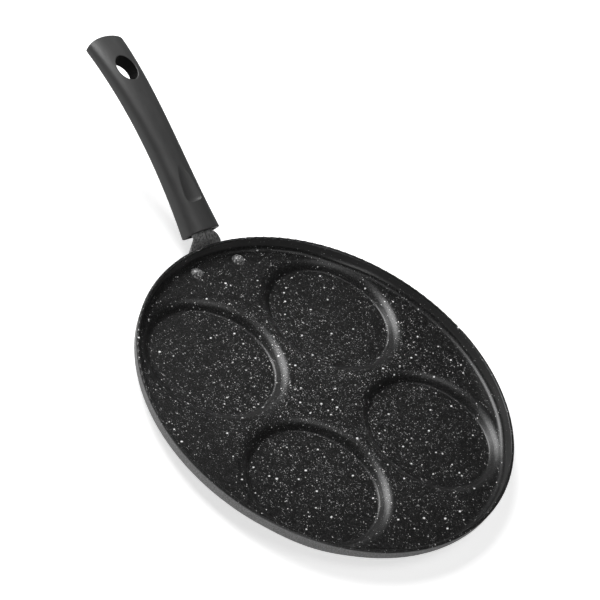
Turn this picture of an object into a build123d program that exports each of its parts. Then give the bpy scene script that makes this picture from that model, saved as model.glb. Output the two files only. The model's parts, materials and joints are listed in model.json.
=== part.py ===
from build123d import *
import math
import os

os.makedirs("parts", exist_ok=True)

# Four-cup uttapam pan: one pressed aluminium sheet, a riveted steel bracket and a phenolic handle.
# Origin: centre of the round pan, on the plane that its four cup bottoms stand on.
# The handle leaves along +X and the cups open towards +Z. Millimetres and degrees.

# Pressed sheet
pan_radius = 130.0
sheet_thickness = 2.4
wall_height = 9.0
wall_lean = 5.0
wall_corner_radius = 4.5
rim_round = 0.8

# Cups
cup_count = 4
cup_depth = 5.6
cup_slope = 45.0
cup_web = 9.25
cup_wall_gap = 2.8
cup_lip_round = 10.0
cup_floor_round = 2.5

# Rivets
rivet_from_wall = 13.5
rivet_spacing = 37.3
rivet_shank_radius = 2.5
rivet_head_radius = 4.6
rivet_head_height = 2.9
rivet_tail_radius = 4.0
rivet_tail_height = 2.0
rivet_fit = 0.05

# Bracket
bracket_thickness = 2.0
bracket_foot_margin = 7.5
bracket_foot_corner = 6.0
bracket_rim_width = 26.5
bracket_neck_width = 15.0
bracket_shoulder_round = 4.0
bracket_neck_clearance = 1.0
bracket_flange_depth = 2.0
bracket_rise_angle = 55.0
bracket_bend_radius = 4.0
bracket_pan_gap = 0.9
bracket_tongue_length = 28.0

# Handle
handle_length = 149.5
handle_gap = 9.8
handle_above_rim = 0.3
handle_chord_angle = 18.3
handle_front_angle = 24.1
handle_back_angle = 5.5
handle_front_width = 27.9
handle_front_thickness = 17.0
handle_waist_at = 52.0
handle_waist_width = 23.7
handle_waist_thickness = 14.0
handle_hole_width = 28.5
handle_hole_thickness = 11.5
handle_end_width = 31.5
handle_end_thickness = 9.5
handle_end_arc = 36.0
handle_end_round = 1.4
handle_front_round = 0.6
handle_fullness = 0.78
handle_side_drop = 0.35
hang_hole_from_end = 28.0
hang_hole_length = 19.6
hang_hole_width = 14.4
hang_hole_round = 0.7
thumb_front = 20.0
thumb_deepest = 27.0
thumb_back = 66.0
thumb_depth = 2.2
thumb_axis_height = 13.0
thumb_front_steepness = 3.0
socket_mouth_width = 22.0
socket_mouth_height = 12.0
socket_mouth_depth = 5.0
socket_fit = 0.15
socket_end_gap = 0.5

# Fixing screw
screw_at = 17.0
screw_radius = 2.0
screw_head_radius = 3.8
screw_head_height = 2.3
screw_slot_width = 1.0
screw_slot_depth = 1.1
screw_thread_fit = 0.05
screw_hole_clearance = 0.3
collar_wall = 1.8
counterbore_clearance = 0.4
counterbore_wall = 2.4
washer_thickness = 1.0
washer_radius = 3.6
washer_hole_clearance = 0.15
washer_split = 0.9


def tan(angle):
    return math.tan(math.radians(angle))


def cos(angle):
    return math.cos(math.radians(angle))


def sin(angle):
    return math.sin(math.radians(angle))


# Levels above the standing plane
floor_underside = cup_depth
floor_top = floor_underside + sheet_thickness
rim_top = floor_top + wall_height

# Radii of the inner wall at the rim and at the floor
inner_rim_radius = pan_radius - sheet_thickness / cos(wall_lean)
inner_floor_radius = inner_rim_radius - wall_height * tan(wall_lean)

# Equal cups fill the floor: each stands one gap off the wall and one web off the next cup
cup_half_pitch = 180.0 / cup_count
cup_lip_radius = (2 * (inner_floor_radius - cup_wall_gap) * sin(cup_half_pitch) - cup_web) / (
    2 + 2 * sin(cup_half_pitch)
)
cup_ring_radius = inner_floor_radius - cup_wall_gap - cup_lip_radius
cup_floor_radius = cup_lip_radius - cup_depth / tan(cup_slope)

rivet_from_centre = pan_radius - rivet_from_wall


def revolved(points):
    """Solid of revolution about Z from a closed outline of radius and height pairs."""
    with BuildSketch(Plane.XZ) as outline:
        with BuildLine():
            Polyline(*points, close=True)
        make_face()
    return revolve(outline.sketch, Axis.Z)


def cup_hollow():
    """Hollow of one cup on the Z axis: flat floor, rounded corner, slope and a lip tangent to the floor."""
    corner_run = cup_floor_round * tan(cup_slope / 2)
    lip_run = cup_lip_round * tan(cup_slope / 2)
    cup_bottom = floor_top - cup_depth
    corner_start = (cup_floor_radius - corner_run, cup_bottom)
    corner_end = (cup_floor_radius + corner_run * cos(cup_slope), cup_bottom + corner_run * sin(cup_slope))
    lip_start = (cup_lip_radius - lip_run * cos(cup_slope), floor_top - lip_run * sin(cup_slope))
    lip_end = (cup_lip_radius + lip_run, floor_top)
    above = floor_top + sheet_thickness
    with BuildSketch(Plane.XZ) as outline:
        with BuildLine():
            Line((0, cup_bottom), corner_start)
            TangentArc(corner_start, corner_end, tangent=(1, 0))
            Line(corner_end, lip_start)
            TangentArc(lip_start, lip_end, tangent=(cos(cup_slope), sin(cup_slope)))
            Polyline(lip_end, (lip_end[0], above), (0, above), (0, cup_bottom))
        make_face()
    return revolve(outline.sketch, Axis.Z)


def pan_hollow():
    """What the sheet is pressed round: a dish a little taller than the rim, its cups, rounded corner."""
    low = floor_top - 2 * cup_depth
    high = rim_top + 2 * sheet_thickness
    low_radius = inner_floor_radius - (floor_top - low) * tan(wall_lean)
    high_radius = inner_floor_radius + (high - floor_top) * tan(wall_lean)
    hollow = revolved([(0, floor_top), (inner_floor_radius, floor_top), (high_radius, high), (0, high)])
    inside_wall = revolved([(0, low), (low_radius, low), (high_radius, high), (0, high)])
    cup = Rot(0, 0, 180) * cup_hollow()
    for place in PolarLocations(cup_ring_radius, cup_count, start_angle=cup_half_pitch):
        hollow = hollow + (place * cup & inside_wall)
    wall_faces = [face for face in hollow.faces() if abs(face.bounding_box().max.Z - high) < rim_round]
    wall_face = max(wall_faces, key=lambda face: face.bounding_box().size.Z)
    corner_edges = [edge for edge in wall_face.edges() if edge.bounding_box().max.Z < floor_top + rim_round]
    return fillet(corner_edges, wall_corner_radius)


def make_pan_body():
    """Sheet of one thickness round the hollow, cut level at the rim, with the two rivet holes."""
    hollow = pan_hollow()
    body = offset(hollow, amount=sheet_thickness)
    above_rim = Pos(0, 0, rim_top + pan_radius) * Box(3 * pan_radius, 3 * pan_radius, 2 * pan_radius)
    body = body - above_rim - hollow
    rim_edges = body.faces().sort_by(Axis.Z)[-1].edges()
    body = fillet(rim_edges, rim_round)
    for place in rivet_places(floor_top):
        body = body - place * Cylinder(rivet_shank_radius + rivet_fit, 3 * sheet_thickness)
    return body


def rivet_places(height):
    """Where the two rivets stand, at a given height."""
    return [Pos(rivet_from_centre, side * rivet_spacing / 2, height) for side in (-1, 1)]


def domed_head(radius, height):
    """Cap of a sphere that stands on its flat side at the origin."""
    ball_radius = (radius**2 + height**2) / (2 * height)
    ball = Pos(0, 0, height - ball_radius) * Sphere(ball_radius)
    keep = Pos(0, 0, height) * Cylinder(2 * radius, 2 * height)
    return ball & keep


def make_pan_rivets():
    """Two rivets: domed head on the pan floor, shank through sheet and bracket, flattened tail below."""
    grip = sheet_thickness + bracket_thickness
    head = domed_head(rivet_head_radius, rivet_head_height)
    shank = Pos(0, 0, -grip / 2) * Cylinder(rivet_shank_radius, grip)
    tail = Pos(0, 0, -grip) * (Rot(180, 0, 0) * domed_head(rivet_tail_radius, rivet_tail_height))
    rivet = head + shank + tail
    return Compound(children=[place * rivet for place in rivet_places(floor_top)])


# Handle spine: a curve in the XZ plane from the socket end to the free end
handle_front = Vector(pan_radius + handle_gap, 0, rim_top + handle_above_rim)
front_direction = Vector(cos(handle_front_angle), 0, sin(handle_front_angle))
back_direction = Vector(cos(handle_back_angle), 0, sin(handle_back_angle))
handle_back = handle_front + Vector(cos(handle_chord_angle), 0, sin(handle_chord_angle)) * handle_length
spine = Bezier(
    handle_front,
    handle_front + front_direction * (handle_length / 3),
    handle_back - back_direction * (handle_length / 3),
    handle_back,
)
hang_hole_at = handle_length - hang_hole_from_end


def across(distance):
    """Plane across the handle: local X along world Y, local Y upwards, at a distance from the socket end."""
    share = distance / handle_length
    return Plane(origin=spine @ share, x_dir=(0, 1, 0), z_dir=spine % share)


def along(distance):
    """Plane on the handle's spine: local X along the handle, local Z out of its top."""
    share = distance / handle_length
    return Plane(origin=spine @ share, x_dir=spine % share, z_dir=across(distance).y_dir)


def handle_section(distance, width, thickness):
    """Full oval of four quarter curves, each square to its neighbour, widest a little below its middle."""
    half_width = width / 2
    half_height = thickness / 2
    widest = -half_height * handle_side_drop
    with BuildSketch(across(distance)) as section:
        with BuildLine():
            for x_side, y_side in ((1, 1), (-1, 1), (-1, -1), (1, -1)):
                top = y_side * half_height
                side_point = (x_side * half_width, widest)
                side_pull = (x_side * half_width, widest + (top - widest) * handle_fullness)
                top_pull = (x_side * half_width * handle_fullness, top)
                top_point = (0, top)
                Bezier(side_point, side_pull, top_pull, top_point)
        make_face()
    return section.sketch


def tongue_plane():
    """Plane of the bracket's tongue in the socket: local X into the handle, local Z upwards."""
    upwards = Vector(-front_direction.Z, 0, front_direction.X)
    return Plane(origin=handle_front, x_dir=front_direction, z_dir=upwards)


channel_height = bracket_thickness + bracket_flange_depth
web_middle = channel_height / 2 - bracket_thickness / 2
socket_depth = bracket_tongue_length + socket_end_gap
seat_level = -channel_height / 2 - socket_fit - counterbore_wall


def thumb_hollow():
    """Teardrop turned about an axis above the handle, so that it dishes the top between two ends."""
    top = across(thumb_deepest)
    taper = (handle_front_thickness - handle_waist_thickness) / handle_waist_at
    level = handle_front_thickness - taper * thumb_deepest
    deepest = thumb_axis_height + thumb_depth
    front_end = (thumb_front - thumb_deepest, thumb_axis_height)
    back_end = (thumb_back - thumb_deepest, thumb_axis_height)
    with BuildSketch(Plane.XY) as outline:
        with BuildLine():
            Spline(front_end, (0, deepest), back_end, tangents=[(1, thumb_front_steepness), (1, 0)])
            Polyline(back_end, (back_end[0], 0), (front_end[0], 0), front_end)
        make_face()
    teardrop = revolve(outline.sketch, Axis.X)
    axis_plane = Plane(
        origin=top.origin + top.y_dir * (level / 2 + thumb_axis_height),
        x_dir=top.z_dir,
        z_dir=top.y_dir,
    )
    return axis_plane.location * teardrop


def handle_blank():
    """Grip lofted along the spine, with a free end that is an arc in plan and rounded all round."""
    sections = [
        handle_section(0, handle_front_width, handle_front_thickness),
        handle_section(handle_waist_at, handle_waist_width, handle_waist_thickness),
        handle_section(hang_hole_at, handle_hole_width, handle_hole_thickness),
        handle_section(handle_length, handle_end_width, handle_end_thickness),
    ]
    grip = loft(sections)
    front_face = grip.faces().sort_by(Axis.X)[0]
    grip = fillet(front_face.edges(), handle_front_round)
    with BuildSketch(along(handle_length)) as end_outline:
        with Locations((-handle_end_arc, 0)):
            Circle(handle_end_arc)
        with Locations((-handle_end_arc - handle_length / 2, 0)):
            Rectangle(handle_length, 2 * handle_end_arc)
    grip = grip & extrude(end_outline.sketch, handle_length, both=True)
    end_face = grip.faces().sort_by(Axis.X)[-1]
    return fillet(end_face.edges(), handle_end_round)


def socket_hollow():
    """Rounded mouth in the front face, and behind it a pocket that fits the bracket's tongue."""
    with BuildSketch(tongue_entry()) as mouth:
        SlotOverall(socket_mouth_width, socket_mouth_height)
    with BuildSketch(tongue_entry()) as pocket:
        Rectangle(bracket_neck_width + 2 * socket_fit, channel_height + 2 * socket_fit)
    deep = extrude(pocket.sketch, socket_depth)
    return deep + extrude(mouth.sketch, socket_mouth_depth) + extrude(mouth.sketch, -socket_mouth_depth)


def make_handle():
    """Phenolic grip with its socket, screw hole, thumb hollow and hanging hole."""
    grip = handle_blank()
    grip = grip - thumb_hollow() - socket_hollow()
    with BuildSketch(along(hang_hole_at)) as hole:
        Ellipse(hang_hole_length / 2, hang_hole_width / 2)
    grip = grip - extrude(hole.sketch, handle_front_thickness, both=True)
    hole_wall = grip.faces().sort_by_distance(along(hang_hole_at).origin)[0]
    grip = fillet(hole_wall.edges().filter_by(GeomType.LINE, reverse=True), hang_hole_round)
    downwards = (Align.CENTER, Align.CENTER, Align.MAX)
    screw_hole = Cylinder(screw_radius + screw_hole_clearance, handle_front_thickness, align=downwards)
    counterbore = Cylinder(screw_head_radius + counterbore_clearance, handle_front_thickness, align=downwards)
    grip = grip - screw_place(0) * screw_hole
    grip = grip - screw_place(seat_level) * counterbore
    return grip


def tongue_entry():
    """Plane across the tongue at the handle's front face: local X along world Y, local Z into the handle."""
    return Plane(origin=handle_front, x_dir=(0, 1, 0), z_dir=front_direction)


def screw_place(level):
    """On the screw's axis, at a level above the tongue's middle, with local Z out of the tongue's top."""
    middle = tongue_plane()
    foot = middle.origin + middle.x_dir * screw_at + middle.z_dir * level
    return Plane(origin=foot, x_dir=middle.x_dir, z_dir=middle.z_dir).location


# Bracket profile in the XZ plane, along the middle of the plate: foot, rise and tongue
foot_middle = floor_underside - bracket_thickness / 2
corner_outer_radius = wall_corner_radius + sheet_thickness
corner_turn = (90 - wall_lean) / 2
corner_centre_radius = inner_floor_radius - wall_corner_radius * tan(corner_turn)
corner_centre_height = floor_top + wall_corner_radius
rise_stand_off = corner_outer_radius + bracket_pan_gap + bracket_thickness / 2
rise_start = (
    corner_centre_radius
    + rise_stand_off / sin(bracket_rise_angle)
    - (corner_centre_height - foot_middle) / tan(bracket_rise_angle)
)
tongue_middle = handle_front + tongue_plane().z_dir * web_middle
tongue_rise = tan(handle_front_angle)
rise_run = (tongue_middle.Z - foot_middle - (tongue_middle.X - rise_start) * tongue_rise) / (
    tan(bracket_rise_angle) - tongue_rise
)
rise_end = (rise_start + rise_run, foot_middle + rise_run * tan(bracket_rise_angle))
tongue_end = tongue_middle + front_direction * bracket_tongue_length
foot_back = rivet_from_centre - bracket_foot_margin
foot_front = rivet_from_centre + bracket_foot_margin
foot_width = rivet_spacing + 2 * bracket_foot_margin


def bracket_middle_line(start):
    """Bent line through the middle of the plate, from a given distance to the tongue's end."""
    return FilletPolyline(
        (start, foot_middle),
        (rise_start, foot_middle),
        rise_end,
        (tongue_end.X, tongue_end.Z),
        radius=bracket_bend_radius,
    )


def bracket_outline(inset):
    """Plan of the bracket: wide riveted foot, narrower at the rim, rounded shoulders, straight tongue."""
    half_foot = foot_width / 2 - inset
    half_rim = bracket_rim_width / 2 - inset
    half_neck = bracket_neck_width / 2 - inset
    neck_at = handle_front.X - bracket_neck_clearance
    shoulder_at = neck_at - (bracket_rim_width - bracket_neck_width) / 2
    with BuildSketch(Plane.XY) as outline:
        with BuildLine():
            for side in (1, -1):
                Polyline(
                    (foot_back, 0),
                    (foot_back, side * half_foot),
                    (foot_front, side * half_foot),
                    (pan_radius, side * half_rim),
                    (shoulder_at, side * half_rim),
                    (neck_at, side * half_neck),
                    (tongue_end.X + bracket_thickness, side * half_neck),
                    (tongue_end.X + bracket_thickness, 0),
                )
        make_face()
        corners = outline.vertices()
        foot_corners = [v for v in corners if v.X < pan_radius - rim_round and abs(v.Y) > half_neck]
        shoulder_corners = [v for v in corners if abs(v.X - shoulder_at) < rim_round and abs(v.Y) > half_neck]
        fillet(foot_corners, bracket_foot_corner)
        fillet(shoulder_corners, bracket_shoulder_round)
    return extrude(outline.sketch, 2 * handle_length, both=True)


def make_handle_bracket():
    """Bent plate, cut to its outline, with flanges folded down along the rise and the tongue."""
    with BuildSketch(Plane.XZ) as plate_side:
        with BuildLine():
            bracket_middle_line(foot_back)
        trace(line_width=bracket_thickness)
    plate = extrude(plate_side.sketch, foot_width, both=True) & bracket_outline(0)
    drop = bracket_thickness / 2 + bracket_flange_depth
    with BuildSketch(Plane.XZ) as flange_side:
        with BuildLine():
            line = bracket_middle_line(foot_front)
            lower = offset(line, amount=drop, side=Side.RIGHT)
        make_face()
    flange = extrude(flange_side.sketch, foot_width, both=True)
    flange = flange & (bracket_outline(0) - bracket_outline(bracket_thickness))
    low = foot_middle - bracket_thickness / 2
    below = Pos(foot_back, 0, low - handle_length) * Box(handle_length, 2 * foot_width, 2 * handle_length)
    bracket = plate + (flange - below)
    for place in rivet_places(floor_underside):
        bracket = bracket - place * Cylinder(rivet_shank_radius + rivet_fit, 3 * bracket_thickness)
    thread_radius = screw_radius + screw_thread_fit
    upwards = (Align.CENTER, Align.CENTER, Align.MIN)
    collar = Cylinder(thread_radius + collar_wall, channel_height, align=upwards)
    bracket = bracket + screw_place(-channel_height / 2) * collar
    thread = Cylinder(thread_radius, 3 * channel_height)
    return bracket - screw_place(0) * thread


def make_handle_screw():
    """Round-head screw from the handle's underside into the tongue's collar, with a driver slot."""
    head_seat = seat_level - washer_thickness
    shank_length = channel_height / 2 - head_seat
    shank = Cylinder(screw_radius, shank_length, align=(Align.CENTER, Align.CENTER, Align.MIN))
    head = Rot(180, 0, 0) * domed_head(screw_head_radius, screw_head_height)
    slot = Pos(0, 0, -screw_head_height) * Box(
        3 * screw_head_radius, screw_slot_width, 2 * screw_slot_depth
    )
    return screw_place(head_seat) * (shank + head - slot)


def make_spring_washer():
    """Split ring under the screw head."""
    ring = Cylinder(washer_radius, washer_thickness, align=(Align.CENTER, Align.CENTER, Align.MAX))
    bore = Cylinder(screw_radius + washer_hole_clearance, 3 * washer_thickness)
    gap = Pos(washer_radius, 0, 0) * Box(washer_radius, washer_split, 3 * washer_thickness)
    return screw_place(seat_level) * (ring - bore - gap)


sub_parts = {
    "pan_body": make_pan_body,
    "handle_bracket": make_handle_bracket,
    "pan_rivets": make_pan_rivets,
    "handle": make_handle,
    "handle_screw": make_handle_screw,
    "spring_washer": make_spring_washer,
}

if __name__ == "__main__":
    for node, make in sub_parts.items():
        export_step(make(), f"parts/{node}.step")
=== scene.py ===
"""Looks of a four-cup uttapam pan: its coats, paint, moulded grip and plating, on a pale studio floor."""

import json
import math

import bpy
from mathutils import Matrix, Vector


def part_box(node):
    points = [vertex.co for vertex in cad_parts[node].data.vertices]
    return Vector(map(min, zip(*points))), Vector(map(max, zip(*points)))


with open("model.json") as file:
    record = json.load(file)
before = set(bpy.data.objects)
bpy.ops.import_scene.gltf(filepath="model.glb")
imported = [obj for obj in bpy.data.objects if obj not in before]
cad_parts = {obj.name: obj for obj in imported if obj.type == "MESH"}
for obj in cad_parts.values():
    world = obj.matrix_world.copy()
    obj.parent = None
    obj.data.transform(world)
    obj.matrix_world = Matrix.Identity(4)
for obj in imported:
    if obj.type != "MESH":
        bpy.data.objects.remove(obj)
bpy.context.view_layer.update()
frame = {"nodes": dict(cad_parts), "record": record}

nodes = frame["nodes"]
mm = 0.001

# Radius and top level of the pan and the middle of the hanging hole, in millimetres
pan_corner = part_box("pan_body")[1]
pan_radius = pan_corner.x / mm
rim_top = pan_corner.z / mm
mounts = {mount["name"]: mount for mount in frame["record"]["mounts"]}
hang_hole_middle = [along / mm for along in mounts["hang_hole"]["pos_m"]]

# Camera: the point it looks at, where it stands from there in degrees, and its turn about its own axis
picture_width = 600
focal_length_px = 1973.5
aim = Vector((70.83, -37.63, 8.72)) * mm
camera_distance = 1315.3 * mm
camera_azimuth = 119.369
camera_elevation = 40.516
camera_roll = 29.172

# Floor. It shows what light falls on it, plus a glow that grows to white away from the pan
floor_half = 8.0
floor_colour = 0.86
glow_at_pan = 0.62
glow_grows_from = 250
glow_full_from = 800

# Surroundings: light from all round, and two bright sweeps low down that only glossy surfaces show
dome_level = 0.06
near_sweep_azimuth = 105
near_sweep_level = 0.4
far_sweep_azimuth = 300
far_sweep_level = 0.35


class Shading:
    """A node tree, with a method for each thing that is added to it."""

    def __init__(self, tree):
        self.tree = tree
        self.tree.nodes.clear()

    def node(self, kind, settings=None, inputs=None):
        """Adds a node of that kind, sets it up, then fills or links its sockets by name or number."""
        made = self.tree.nodes.new(kind)
        for key, value in (settings or {}).items():
            setattr(made, key, value)
        for key, value in (inputs or {}).items():
            if isinstance(value, Value):
                value = value.socket
            if isinstance(value, bpy.types.NodeSocket):
                self.tree.links.new(value, made.inputs[key])
            else:
                made.inputs[key].default_value = value
        return made

    def value(self, kind, settings=None, inputs=None, output=0):
        """The number that comes out of such a node."""
        return Value(self, self.node(kind, settings, inputs).outputs[output])

    def math(self, operation, *terms):
        """The number that comes of an operation on numbers."""
        return self.value("ShaderNodeMath", {"operation": operation}, dict(enumerate(terms)))

    def vector(self, operation, *terms):
        """The vector that comes of an operation on vectors."""
        return self.node("ShaderNodeVectorMath", {"operation": operation}, dict(enumerate(terms))).outputs[0]

    def length(self, vector):
        return self.value("ShaderNodeVectorMath", {"operation": "LENGTH"}, {0: vector}, "Value")

    def axes(self, vector):
        """The vector's parts along X, Y and Z."""
        parts = self.node("ShaderNodeSeparateXYZ", {}, {0: vector}).outputs
        return [Value(self, part) for part in parts]

    def mix(self, share, low, high):
        """Colour from low to high as share goes from 0 to 1."""
        inputs = {0: share, 6: low, 7: high}
        return self.node("ShaderNodeMix", {"data_type": "RGBA"}, inputs).outputs[2]

    def blend(self, share, low, high):
        """Shader from low to high as share goes from 0 to 1."""
        return self.node("ShaderNodeMixShader", {}, {0: share, 1: low, 2: high}).outputs[0]

    def step(self, value, low, high, start=0.0, end=1.0):
        """Start where value is at low, end where it is at high, smooth between; low may be the larger."""
        inputs = {"Value": value, "From Min": low, "From Max": high, "To Min": start, "To Max": end}
        return self.value("ShaderNodeMapRange", {"interpolation_type": "SMOOTHSTEP"}, inputs)

    def ray(self, kind):
        """1 for rays of that kind, such as Glossy or Shadow."""
        return self.value("ShaderNodeLightPath", output=f"Is {kind} Ray")

    def seen(self):
        """1 for what the camera sees, straight or through something clear."""
        return self.ray("Camera").over(self.ray("Transmission"))


class Finish(Shading):
    """A material, measured in millimetres on the piece."""

    def __init__(self, name):
        self.material = bpy.data.materials.new(name)
        self.material.use_nodes = True
        super().__init__(self.material.node_tree)

    def place(self):
        """Position on the piece."""
        position = self.node("ShaderNodeTexCoord").outputs["Object"]
        return self.vector("MULTIPLY", position, (1 / mm,) * 3)

    def off_line(self, place, middle):
        """Distance from the upright line through that middle."""
        across = self.vector("MULTIPLY", self.vector("SUBTRACT", place, middle), (1, 1, 0))
        return self.length(across)

    def upward(self):
        """How far the surface faces up: 1 where it faces up, 0 sideways and -1 down."""
        normal = self.node("ShaderNodeNewGeometry").outputs["Normal"]
        return self.axes(normal)[2]

    def noise(self, place, size, detail=2.0, roughness=0.5):
        """Smooth noise from 0 to 1 with lumps of that size."""
        inputs = {"Vector": place, "Scale": 1 / size, "Detail": detail, "Roughness": roughness}
        return self.value("ShaderNodeTexNoise", {}, inputs)

    def bump(self, height, depth, strength=1.0):
        """Normal of a relief of that depth, where height goes from 0 to 1."""
        inputs = {"Height": height, "Distance": depth * mm, "Strength": strength}
        return self.node("ShaderNodeBump", {}, inputs).outputs[0]

    def principled(self, **inputs):
        """Principled shader with those sockets, underscores for spaces."""
        named = {key.replace("_", " "): value for key, value in inputs.items()}
        return self.node("ShaderNodeBsdfPrincipled", {}, named).outputs[0]

    def dress(self, shader):
        """Makes that shader the material's surface."""
        self.node("ShaderNodeOutputMaterial", {}, {"Surface": shader})
        return self.material


class Value:
    """A number in a shading. Arithmetic on it adds Math nodes."""

    def __init__(self, shading, socket):
        self.shading = shading
        self.socket = socket

    def __add__(self, other):
        return self.shading.math("ADD", self, other)

    def __sub__(self, other):
        return self.shading.math("SUBTRACT", self, other)

    def __rsub__(self, other):
        return self.shading.math("SUBTRACT", other, self)

    def __mul__(self, other):
        return self.shading.math("MULTIPLY", self, other)

    def __lt__(self, other):
        return self.shading.math("LESS_THAN", self, other)

    def over(self, other):
        """The larger of the two."""
        return self.shading.math("MAXIMUM", self, other)

    __radd__ = __add__
    __rmul__ = __mul__


def grey(level):
    return (level, level, level, 1.0)


def flecks(finish, place, cell, radius, share, stretch=(1, 1, 1)):
    """Mask of chips up to that radius, one in a share of the cells.

    Noise shifts each point to and fro, which makes the outlines ragged. A point is in a chip where it is
    nearer to the middle of its cell than the chip's own radius, which is a random part of the largest.
    """
    ragged_by = 1.1 * radius
    ragged_scale = 2.2 / radius
    smallest = 0.3
    chip_fades_out = 0.1 * radius
    chip_is_full = -0.15 * radius
    wobble = finish.node("ShaderNodeTexNoise", {}, {"Vector": place, "Scale": ragged_scale, "Detail": 1.0})
    shift = finish.vector("SUBTRACT", wobble.outputs["Color"], (0.5,) * 3)
    shift = finish.vector("MULTIPLY", shift, (ragged_by,) * 3)
    spot = finish.vector("MULTIPLY", finish.vector("ADD", place, shift), stretch)
    cells = finish.node("ShaderNodeTexVoronoi", {}, {"Vector": spot, "Scale": 1 / cell})
    from_middle = Value(finish, cells.outputs["Distance"]) * cell
    draws = finish.node("ShaderNodeSeparateColor", {}, {0: cells.outputs["Color"]})
    chosen = Value(finish, draws.outputs["Red"]) < share
    reach = (Value(finish, draws.outputs["Green"]) * (1 - smallest) + smallest) * radius
    return finish.step(from_middle - reach, chip_fades_out, chip_is_full) * chosen


def granite(finish, place, density):
    """Mask of pale mineral chips in three sizes."""
    fine = flecks(finish, place, cell=0.85, radius=0.23, share=density * 0.7) * 0.8
    middle = flecks(finish, place, cell=1.7, radius=0.39, share=density * 0.6)
    large = flecks(finish, place, cell=3.2, radius=0.72, share=density * 0.4, stretch=(1.0, 0.7, 1.0))
    return fine.over(middle).over(large)


def nonstick_sheet():
    """Black granite-flecked coat inside and over the rim, plain grey paint outside and below."""
    f = Finish("nonstick_sheet")
    place = f.place()
    upward = f.upward()
    level = f.axes(place)[2]
    paint_ends = rim_top - 1.5
    coat_starts = rim_top - 0.8
    inside = f.step(upward, -0.04, 0.04).over(f.step(level, paint_ends, coat_starts))

    # Chips lie densest in the middle, in loose clusters, and few stay on slopes
    middle_radius = 40.0
    density_at_rim = 0.4
    cluster_size = 22.0
    cluster_swing = 1.1
    share_on_slopes = 0.3
    density = f.step(f.off_line(place, (0, 0, 0)), pan_radius, middle_radius, density_at_rim, 1.0)
    density = density + (f.noise(place, cluster_size) - 0.5) * cluster_swing
    density = density * f.step(upward, 0.8, 0.99, share_on_slopes, 1.0)
    chips = granite(f, place, density)

    # The coat is dusted with fine grey and holds the chips; its steep walls are painted paler grey, as
    # painted light for the light and sheen they catch
    dust = f.step(f.noise(place, 0.7, detail=1.0), 0.47, 0.72)
    coat = f.mix(dust, grey(0.001), grey(0.042))
    # Painted light: steep inner walls get a paler grey base in place of the light that falls on them
    coat = f.mix(f.step(upward, 0.5, 0.15), coat, grey(0.05))
    coat = f.mix(chips, coat, grey(0.92))

    grain = f.step(f.noise(place, 0.7, detail=3.0, roughness=0.6), 0.35, 0.7)
    paint = f.mix(grain, grey(0.13), grey(0.29))

    relief = f.noise(place, 0.8, detail=3.0) * 0.7 + chips * 0.3
    shader = f.principled(
        Base_Color=f.mix(inside, paint, coat),
        Roughness=0.30 + f.noise(place, 3.0) * 0.08 + (1 - inside) * 0.18,
        Normal=f.bump(relief, 0.045),
    )
    return f.dress(shader)


def rivet_coat():
    """The pan's coat over the rivet heads, rubbed a little paler on the domes."""
    f = Finish("rivet_coat")
    place = f.place()
    chips = flecks(f, place, cell=1.3, radius=0.45, share=0.9)
    rubbed = f.step(f.noise(place, 1.1, detail=3.0), 0.35, 0.65)
    coat = f.mix(rubbed, grey(0.03), grey(0.22))
    shader = f.principled(
        Base_Color=f.mix(chips, coat, grey(0.75)),
        Roughness=0.34 + f.noise(place, 1.5) * 0.1,
        Normal=f.bump(f.noise(place, 0.9, detail=3.0), 0.06),
    )
    return f.dress(shader)


def bracket_paint():
    """Grey hammered paint on the stamped bracket."""
    f = Finish("bracket_paint")
    place = f.place()
    dimple_size = 2.2
    dimple = {"Vector": place, "Scale": 1 / dimple_size}
    hammered = f.value("ShaderNodeTexVoronoi", {"feature": "SMOOTH_F1"}, dimple, "Distance")
    mottled = f.step(f.noise(place, 1.4, detail=4.0, roughness=0.6), 0.3, 0.7)
    shader = f.principled(
        Base_Color=f.mix(mottled, grey(0.12), grey(0.45)),
        Metallic=0.3,
        Roughness=0.34 + f.noise(place, 2.0) * 0.15,
        Normal=f.bump(hammered, 0.25, strength=0.7),
    )
    return f.dress(shader)


def phenolic():
    """Satin black moulded phenolic with faint flow marks, painted near black and dull inside the hanging
    hole as painted shade.
    """
    f = Finish("phenolic")
    place = f.place()
    stretched = f.vector("MULTIPLY", place, (0.25, 1, 1))
    flow = f.noise(stretched, 6.0, detail=4.0, roughness=0.55)
    skin = f.principled(
        Base_Color=f.mix(flow, grey(0.026), grey(0.046)),
        Roughness=0.42 + flow * 0.1,
        Normal=f.bump(f.noise(place, 0.5), 0.012),
    )
    # Painted shade: the walls inside the hanging hole are painted near black, with little reflection, for
    # the shade that falls there
    painted_hole_shade = f.principled(Base_Color=grey(0.004), Roughness=0.9, Specular_IOR_Level=0.1)
    hole_reach = 10.2
    clear_of_hole = 10.6
    near_hole = f.step(f.off_line(place, hang_hole_middle), clear_of_hole, hole_reach)
    steep = f.step(f.math("ABSOLUTE", f.upward()), 0.6, 0.4)
    return f.dress(f.blend(near_hole * steep, skin, painted_hole_shade))


def zinc_steel():
    """Zinc-plated screw and washer."""
    f = Finish("zinc_steel")
    place = f.place()
    cloud = f.noise(place, 1.2, detail=3.0)
    shader = f.principled(
        Base_Color=f.mix(cloud, (0.5, 0.51, 0.52, 1.0), (0.68, 0.68, 0.66, 1.0)),
        Metallic=1.0,
        Roughness=0.28 + cloud * 0.15,
        Normal=f.bump(f.noise(place, 0.4), 0.01),
    )
    return f.dress(shader)


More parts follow.
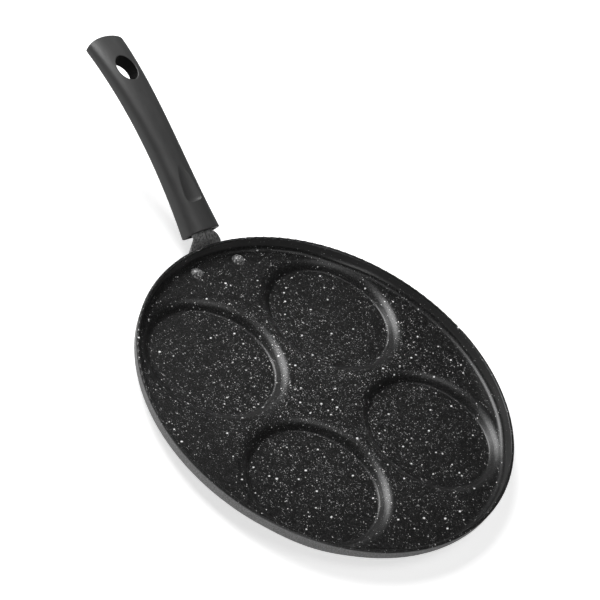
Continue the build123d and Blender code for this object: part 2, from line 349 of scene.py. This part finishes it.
def white_floor():
    """Pale floor that keeps the pan's shadow. It is clear from below, also for the lamp there."""
    f = Finish("studio_floor")
    matt = f.node("ShaderNodeBsdfDiffuse", {}, {"Color": grey(floor_colour)}).outputs[0]
    glow = f.step(f.length(f.place()), glow_grows_from, glow_full_from, glow_at_pan, 1.0)
    glow = f.mix(f.seen() * glow, grey(0.0), grey(1.0))
    glow = f.node("ShaderNodeEmission", {}, {"Color": glow}).outputs[0]
    top = f.node("ShaderNodeAddShader", {}, {0: matt, 1: glow}).outputs[0]
    clear = f.node("ShaderNodeBsdfTransparent").outputs[0]
    from_below = f.value("ShaderNodeNewGeometry", output="Backfacing")
    return f.dress(f.blend(from_below.over(f.ray("Shadow")), top, clear))


def make_floor():
    mesh = bpy.data.meshes.new("studio_floor")
    corners = [(x * floor_half, y * floor_half, 0.0) for x, y in ((-1, -1), (1, -1), (1, 1), (-1, 1))]
    mesh.from_pydata(corners, [], [(0, 1, 2, 3)])
    mesh.materials.append(white_floor())
    floor = bpy.data.objects.new("studio_floor", mesh)
    bpy.context.scene.collection.objects.link(floor)


def towards(azimuth, elevation):
    """Unit direction from its azimuth about Z and its height above the horizon, in degrees."""
    a, e = math.radians(azimuth), math.radians(elevation)
    return Vector((math.cos(a) * math.cos(e), math.sin(a) * math.cos(e), math.sin(e)))


def softbox(name, azimuth, elevation, distance, size, power):
    """Square soft lamp that faces the pan from that direction and distance."""
    lamp = bpy.data.lights.new(name, "AREA")
    lamp.size = size
    lamp.energy = power
    holder = bpy.data.objects.new(name, lamp)
    direction = towards(azimuth, elevation)
    holder.rotation_mode = "QUATERNION"
    holder.rotation_quaternion = direction.to_track_quat("Z", "Y")
    holder.location = direction * distance
    bpy.context.scene.collection.objects.link(holder)


def make_world():
    """White to the camera, a dim dome as light, and a sweep low down on two sides for gloss."""
    world = bpy.data.worlds.new("studio")
    bpy.context.scene.world = world
    world.use_nodes = True
    sky = Shading(world.node_tree)
    x, y, z = sky.axes(sky.node("ShaderNodeTexCoord").outputs["Generated"])

    def side(azimuth, low, high):
        """1 towards that azimuth, smoothly down to 0 away from it."""
        level_direction = towards(azimuth, 0)
        return sky.step(x * level_direction.x + y * level_direction.y, low, high)

    sweep_top = 0.28
    sweep_full_below = 0.02
    sweep = side(near_sweep_azimuth, low=0.2, high=0.8) * near_sweep_level
    sweep = sweep + side(far_sweep_azimuth, low=0.7, high=0.95) * far_sweep_level
    sweep = sweep * sky.step(z, sweep_top, sweep_full_below)
    shown = sky.seen().over(sky.ray("Glossy") * sweep)
    colour = sky.mix(shown, grey(dome_level), grey(1.0))
    background = sky.node("ShaderNodeBackground", {}, {"Color": colour}).outputs[0]
    sky.node("ShaderNodeOutputWorld", {}, {"Surface": background})


def make_camera():
    """Camera that stands back from its aim along one direction, turned about its own axis."""
    back = towards(camera_azimuth, camera_elevation)
    level = Vector((0, 0, 1)).cross(back).normalized()
    upright = back.cross(level)
    roll = math.radians(camera_roll)
    right = level * math.cos(roll) + upright * math.sin(roll)
    up = back.cross(right)
    camera = bpy.data.objects.new("camera", bpy.data.cameras.new("camera"))
    camera.data.lens = focal_length_px / picture_width * camera.data.sensor_width
    camera.data.clip_start = 0.05
    camera.data.clip_end = 50.0
    turn = Matrix((right, up, back)).transposed().to_4x4()
    camera.matrix_world = Matrix.Translation(aim + back * camera_distance) @ turn
    bpy.context.scene.collection.objects.link(camera)
    bpy.context.scene.camera = camera


zinc = zinc_steel()
finishes = {
    "pan_body": nonstick_sheet(),
    "pan_rivets": rivet_coat(),
    "handle_bracket": bracket_paint(),
    "handle": phenolic(),
    "handle_screw": zinc,
    "spring_washer": zinc,
}
for node_name, finish in finishes.items():
    for slot in nodes[node_name].material_slots:
        slot.material = finish

make_floor()
softbox("key_left", azimuth=4, elevation=46, distance=1.1, size=0.65, power=12.5)
softbox("front_low", azimuth=135, elevation=14, distance=1.5, size=0.6, power=4.5)
softbox("overhead", azimuth=215, elevation=74, distance=1.6, size=0.8, power=4)
softbox("under", azimuth=0, elevation=-88, distance=1.2, size=0.8, power=3)
make_world()
make_camera()
bpy.context.scene.view_settings.view_transform = "Standard"
